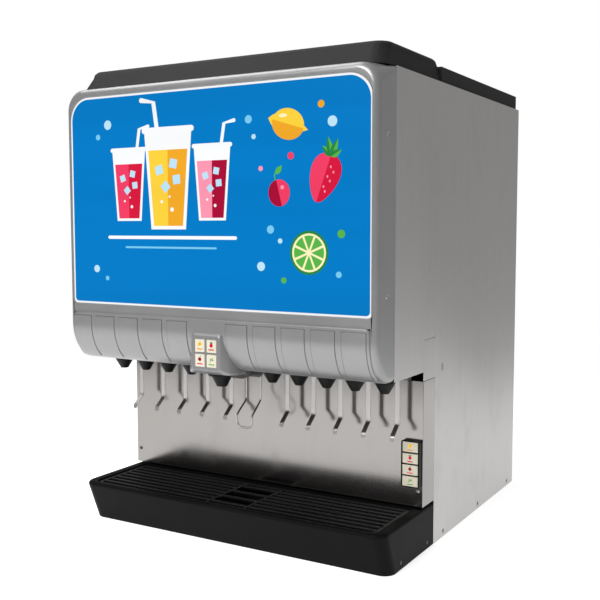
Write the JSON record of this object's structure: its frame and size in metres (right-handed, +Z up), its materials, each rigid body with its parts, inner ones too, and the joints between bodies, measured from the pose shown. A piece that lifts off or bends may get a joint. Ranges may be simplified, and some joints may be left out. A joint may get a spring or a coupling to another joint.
{
  "type": "countertop ice and beverage dispenser",
  "caption": "Countertop fountain drink and ice dispenser with a lit front head, push levers over a drip tray, keypads, an ice chute and a lift-off bin lid.",
  "frame": {"origin": "centre of the footprint on the counter", "axes": "+Z up, +X to the customer's right, -Y towards the customer"},
  "size_m": [0.762, 0.85, 1.023],
  "materials": {
    "stainless": "vertical brushed grain, satin",
    "polished_steel": "fine polished",
    "galvanised": "dull zinc coat",
    "silver_plastic": "silver metallic moulded, satin",
    "black_plastic": "moulded black, satin",
    "tray_plastic": "moulded black, fine texture",
    "lid_plastic": "moulded charcoal, fine texture",
    "graphic_film": "lit translucent film, printed artwork",
    "white_plastic": "white moulded",
    "smoked_plastic": "smoked translucent",
    "cast_aluminium": "as cast",
    "button_film": "cream film with a small coloured mark"
  },
  "bodies": {
    "cabinet": {"base_pan": "galvanised", "side_panel_left": "stainless", "side_filler_left": "stainless", "valve_bank_left": "black_plastic", "side_panel_right": "stainless", "side_filler_right": "stainless", "valve_bank_right": "black_plastic", "rear_panel": "stainless", "splash_panel": "stainless", "valve_plate": "stainless", "top_frame": "galvanised", "bezel_shell": "silver_plastic", "graphic_panel": "graphic_film", "light_box": "white_plastic", "keypad_housing": "silver_plastic", "side_keypad_housing": "black_plastic", "centre_nozzle": "black_plastic", "ice_bin": "white_plastic", "cold_plate": "cast_aluminium", "agitator_motor": "galvanised", "ice_chute": "smoked_plastic", "drip_tray": "tray_plastic", "drain_fitting": "white_plastic", "top_cap": "lid_plastic", "control_box": "galvanised", "inlet_manifold": "stainless", "power_inlet": "black_plastic", "nozzle_1": "black_plastic", "nozzle_2": "black_plastic", "nozzle_3": "black_plastic", "nozzle_4": "black_plastic", "nozzle_5": "black_plastic", "nozzle_6": "black_plastic", "nozzle_7": "black_plastic", "nozzle_8": "black_plastic", "nozzle_9": "black_plastic", "nozzle_10": "black_plastic"},
    "lever_1": {"lever_1": "polished_steel"},
    "lever_2": {"lever_2": "polished_steel"},
    "lever_3": {"lever_3": "polished_steel"},
    "lever_4": {"lever_4": "polished_steel"},
    "lever_5": {"lever_5": "polished_steel"},
    "lever_6": {"lever_6": "polished_steel"},
    "lever_7": {"lever_7": "polished_steel"},
    "lever_8": {"lever_8": "polished_steel"},
    "lever_9": {"lever_9": "polished_steel"},
    "lever_10": {"lever_10": "polished_steel"},
    "ice_lever": {"ice_lever": "polished_steel"},
    "ice_gate": {"ice_gate": "stainless"},
    "agitator": {"agitator": "stainless"},
    "flavour_button_1": {"flavour_button_1": "button_film"},
    "flavour_button_2": {"flavour_button_2": "button_film"},
    "flavour_button_3": {"flavour_button_3": "button_film"},
    "flavour_button_4": {"flavour_button_4": "button_film"},
    "side_button_1": {"side_button_1": "button_film"},
    "side_button_2": {"side_button_2": "button_film"},
    "side_button_3": {"side_button_3": "button_film"},
    "side_button_4": {"side_button_4": "button_film"},
    "bin_lid": {"bin_lid": "lid_plastic"},
    "cup_rest_grille": {"cup_rest_grille": "tray_plastic"}
  },
  "joints": [
    {"name": "lever_1_push", "type": "hinge", "parent": "cabinet", "child": "lever_1", "pos_m": [-0.337, -0.2248, 0.404], "axis": [1, 0, 0], "range_deg": [0, 10], "stiffness_Nm_per_rad": 0.25, "springref_deg": -20.05},
    {"name": "lever_2_push", "type": "hinge", "parent": "cabinet", "child": "lever_2", "pos_m": [-0.2714, -0.2248, 0.404], "axis": [1, 0, 0], "range_deg": [0, 10], "stiffness_Nm_per_rad": 0.25, "springref_deg": -20.05},
    {"name": "lever_3_push", "type": "hinge", "parent": "cabinet", "child": "lever_3", "pos_m": [-0.2058, -0.2248, 0.404], "axis": [1, 0, 0], "range_deg": [0, 10], "stiffness_Nm_per_rad": 0.25, "springref_deg": -20.05},
    {"name": "lever_4_push", "type": "hinge", "parent": "cabinet", "child": "lever_4", "pos_m": [-0.1402, -0.2248, 0.404], "axis": [1, 0, 0], "range_deg": [0, 10], "stiffness_Nm_per_rad": 0.25, "springref_deg": -20.05},
    {"name": "lever_5_push", "type": "hinge", "parent": "cabinet", "child": "lever_5", "pos_m": [-0.0746, -0.2248, 0.404], "axis": [1, 0, 0], "range_deg": [0, 10], "stiffness_Nm_per_rad": 0.25, "springref_deg": -20.05},
    {"name": "lever_6_push", "type": "hinge", "parent": "cabinet", "child": "lever_6", "pos_m": [0.0746, -0.2248, 0.404], "axis": [1, 0, 0], "range_deg": [0, 10], "stiffness_Nm_per_rad": 0.25, "springref_deg": -20.05},
    {"name": "lever_7_push", "type": "hinge", "parent": "cabinet", "child": "lever_7", "pos_m": [0.1402, -0.2248, 0.404], "axis": [1, 0, 0], "range_deg": [0, 10], "stiffness_Nm_per_rad": 0.25, "springref_deg": -20.05},
    {"name": "lever_8_push", "type": "hinge", "parent": "cabinet", "child": "lever_8", "pos_m": [0.2058, -0.2248, 0.404], "axis": [1, 0, 0], "range_deg": [0, 10], "stiffness_Nm_per_rad": 0.25, "springref_deg": -20.05},
    {"name": "lever_9_push", "type": "hinge", "parent": "cabinet", "child": "lever_9", "pos_m": [0.2714, -0.2248, 0.404], "axis": [1, 0, 0], "range_deg": [0, 10], "stiffness_Nm_per_rad": 0.25, "springref_deg": -20.05},
    {"name": "lever_10_push", "type": "hinge", "parent": "cabinet", "child": "lever_10", "pos_m": [0.337, -0.2248, 0.404], "axis": [1, 0, 0], "range_deg": [0, 10], "stiffness_Nm_per_rad": 0.25, "springref_deg": -20.05},
    {"name": "ice_lever_push", "type": "hinge", "parent": "cabinet", "child": "ice_lever", "pos_m": [0, -0.247, 0.404], "axis": [1, 0, 0], "range_deg": [0, 10], "stiffness_Nm_per_rad": 0.3, "springref_deg": -20.05},
    {"name": "ice_gate_lift", "type": "slide", "parent": "cabinet", "child": "ice_gate", "axis": [0, 0, 1], "range_m": [0, 0.07]},
    {"name": "agitator_turn", "type": "hinge", "parent": "cabinet", "child": "agitator", "pos_m": [0, -0.148, 0.522], "axis": [0, 1, 0], "continuous": true},
    {"name": "flavour_button_1_press", "type": "slide", "parent": "cabinet", "child": "flavour_button_1", "axis": [0, 1, 0], "range_m": [0, 0.0015], "stiffness_N_per_m": 400, "springref_m": -0.001},
    {"name": "flavour_button_2_press", "type": "slide", "parent": "cabinet", "child": "flavour_button_2", "axis": [0, 1, 0], "range_m": [0, 0.0015], "stiffness_N_per_m": 400, "springref_m": -0.001},
    {"name": "flavour_button_3_press", "type": "slide", "parent": "cabinet", "child": "flavour_button_3", "axis": [0, 1, 0], "range_m": [0, 0.0015], "stiffness_N_per_m": 400, "springref_m": -0.001},
    {"name": "flavour_button_4_press", "type": "slide", "parent": "cabinet", "child": "flavour_button_4", "axis": [0, 1, 0], "range_m": [0, 0.0015], "stiffness_N_per_m": 400, "springref_m": -0.001},
    {"name": "side_button_1_press", "type": "slide", "parent": "cabinet", "child": "side_button_1", "axis": [0, 1, 0], "range_m": [0, 0.0015], "stiffness_N_per_m": 400, "springref_m": -0.001},
    {"name": "side_button_2_press", "type": "slide", "parent": "cabinet", "child": "side_button_2", "axis": [0, 1, 0], "range_m": [0, 0.0015], "stiffness_N_per_m": 400, "springref_m": -0.001},
    {"name": "side_button_3_press", "type": "slide", "parent": "cabinet", "child": "side_button_3", "axis": [0, 1, 0], "range_m": [0, 0.0015], "stiffness_N_per_m": 400, "springref_m": -0.001},
    {"name": "side_button_4_press", "type": "slide", "parent": "cabinet", "child": "side_button_4", "axis": [0, 1, 0], "range_m": [0, 0.0015], "stiffness_N_per_m": 400, "springref_m": -0.001},
    {"name": "bin_lid_lift", "type": "slide", "parent": "cabinet", "child": "bin_lid", "axis": [0, 0, 1], "range_m": [0, 0.15]},
    {"name": "grille_lift", "type": "slide", "parent": "cabinet", "child": "cup_rest_grille", "axis": [0, 0, 1], "range_m": [0, 0.045]}
  ],
  "couplings": [
    {"joint": "ice_gate_lift", "follows": "ice_lever_push", "m_per_rad": 0.38}
  ]
}
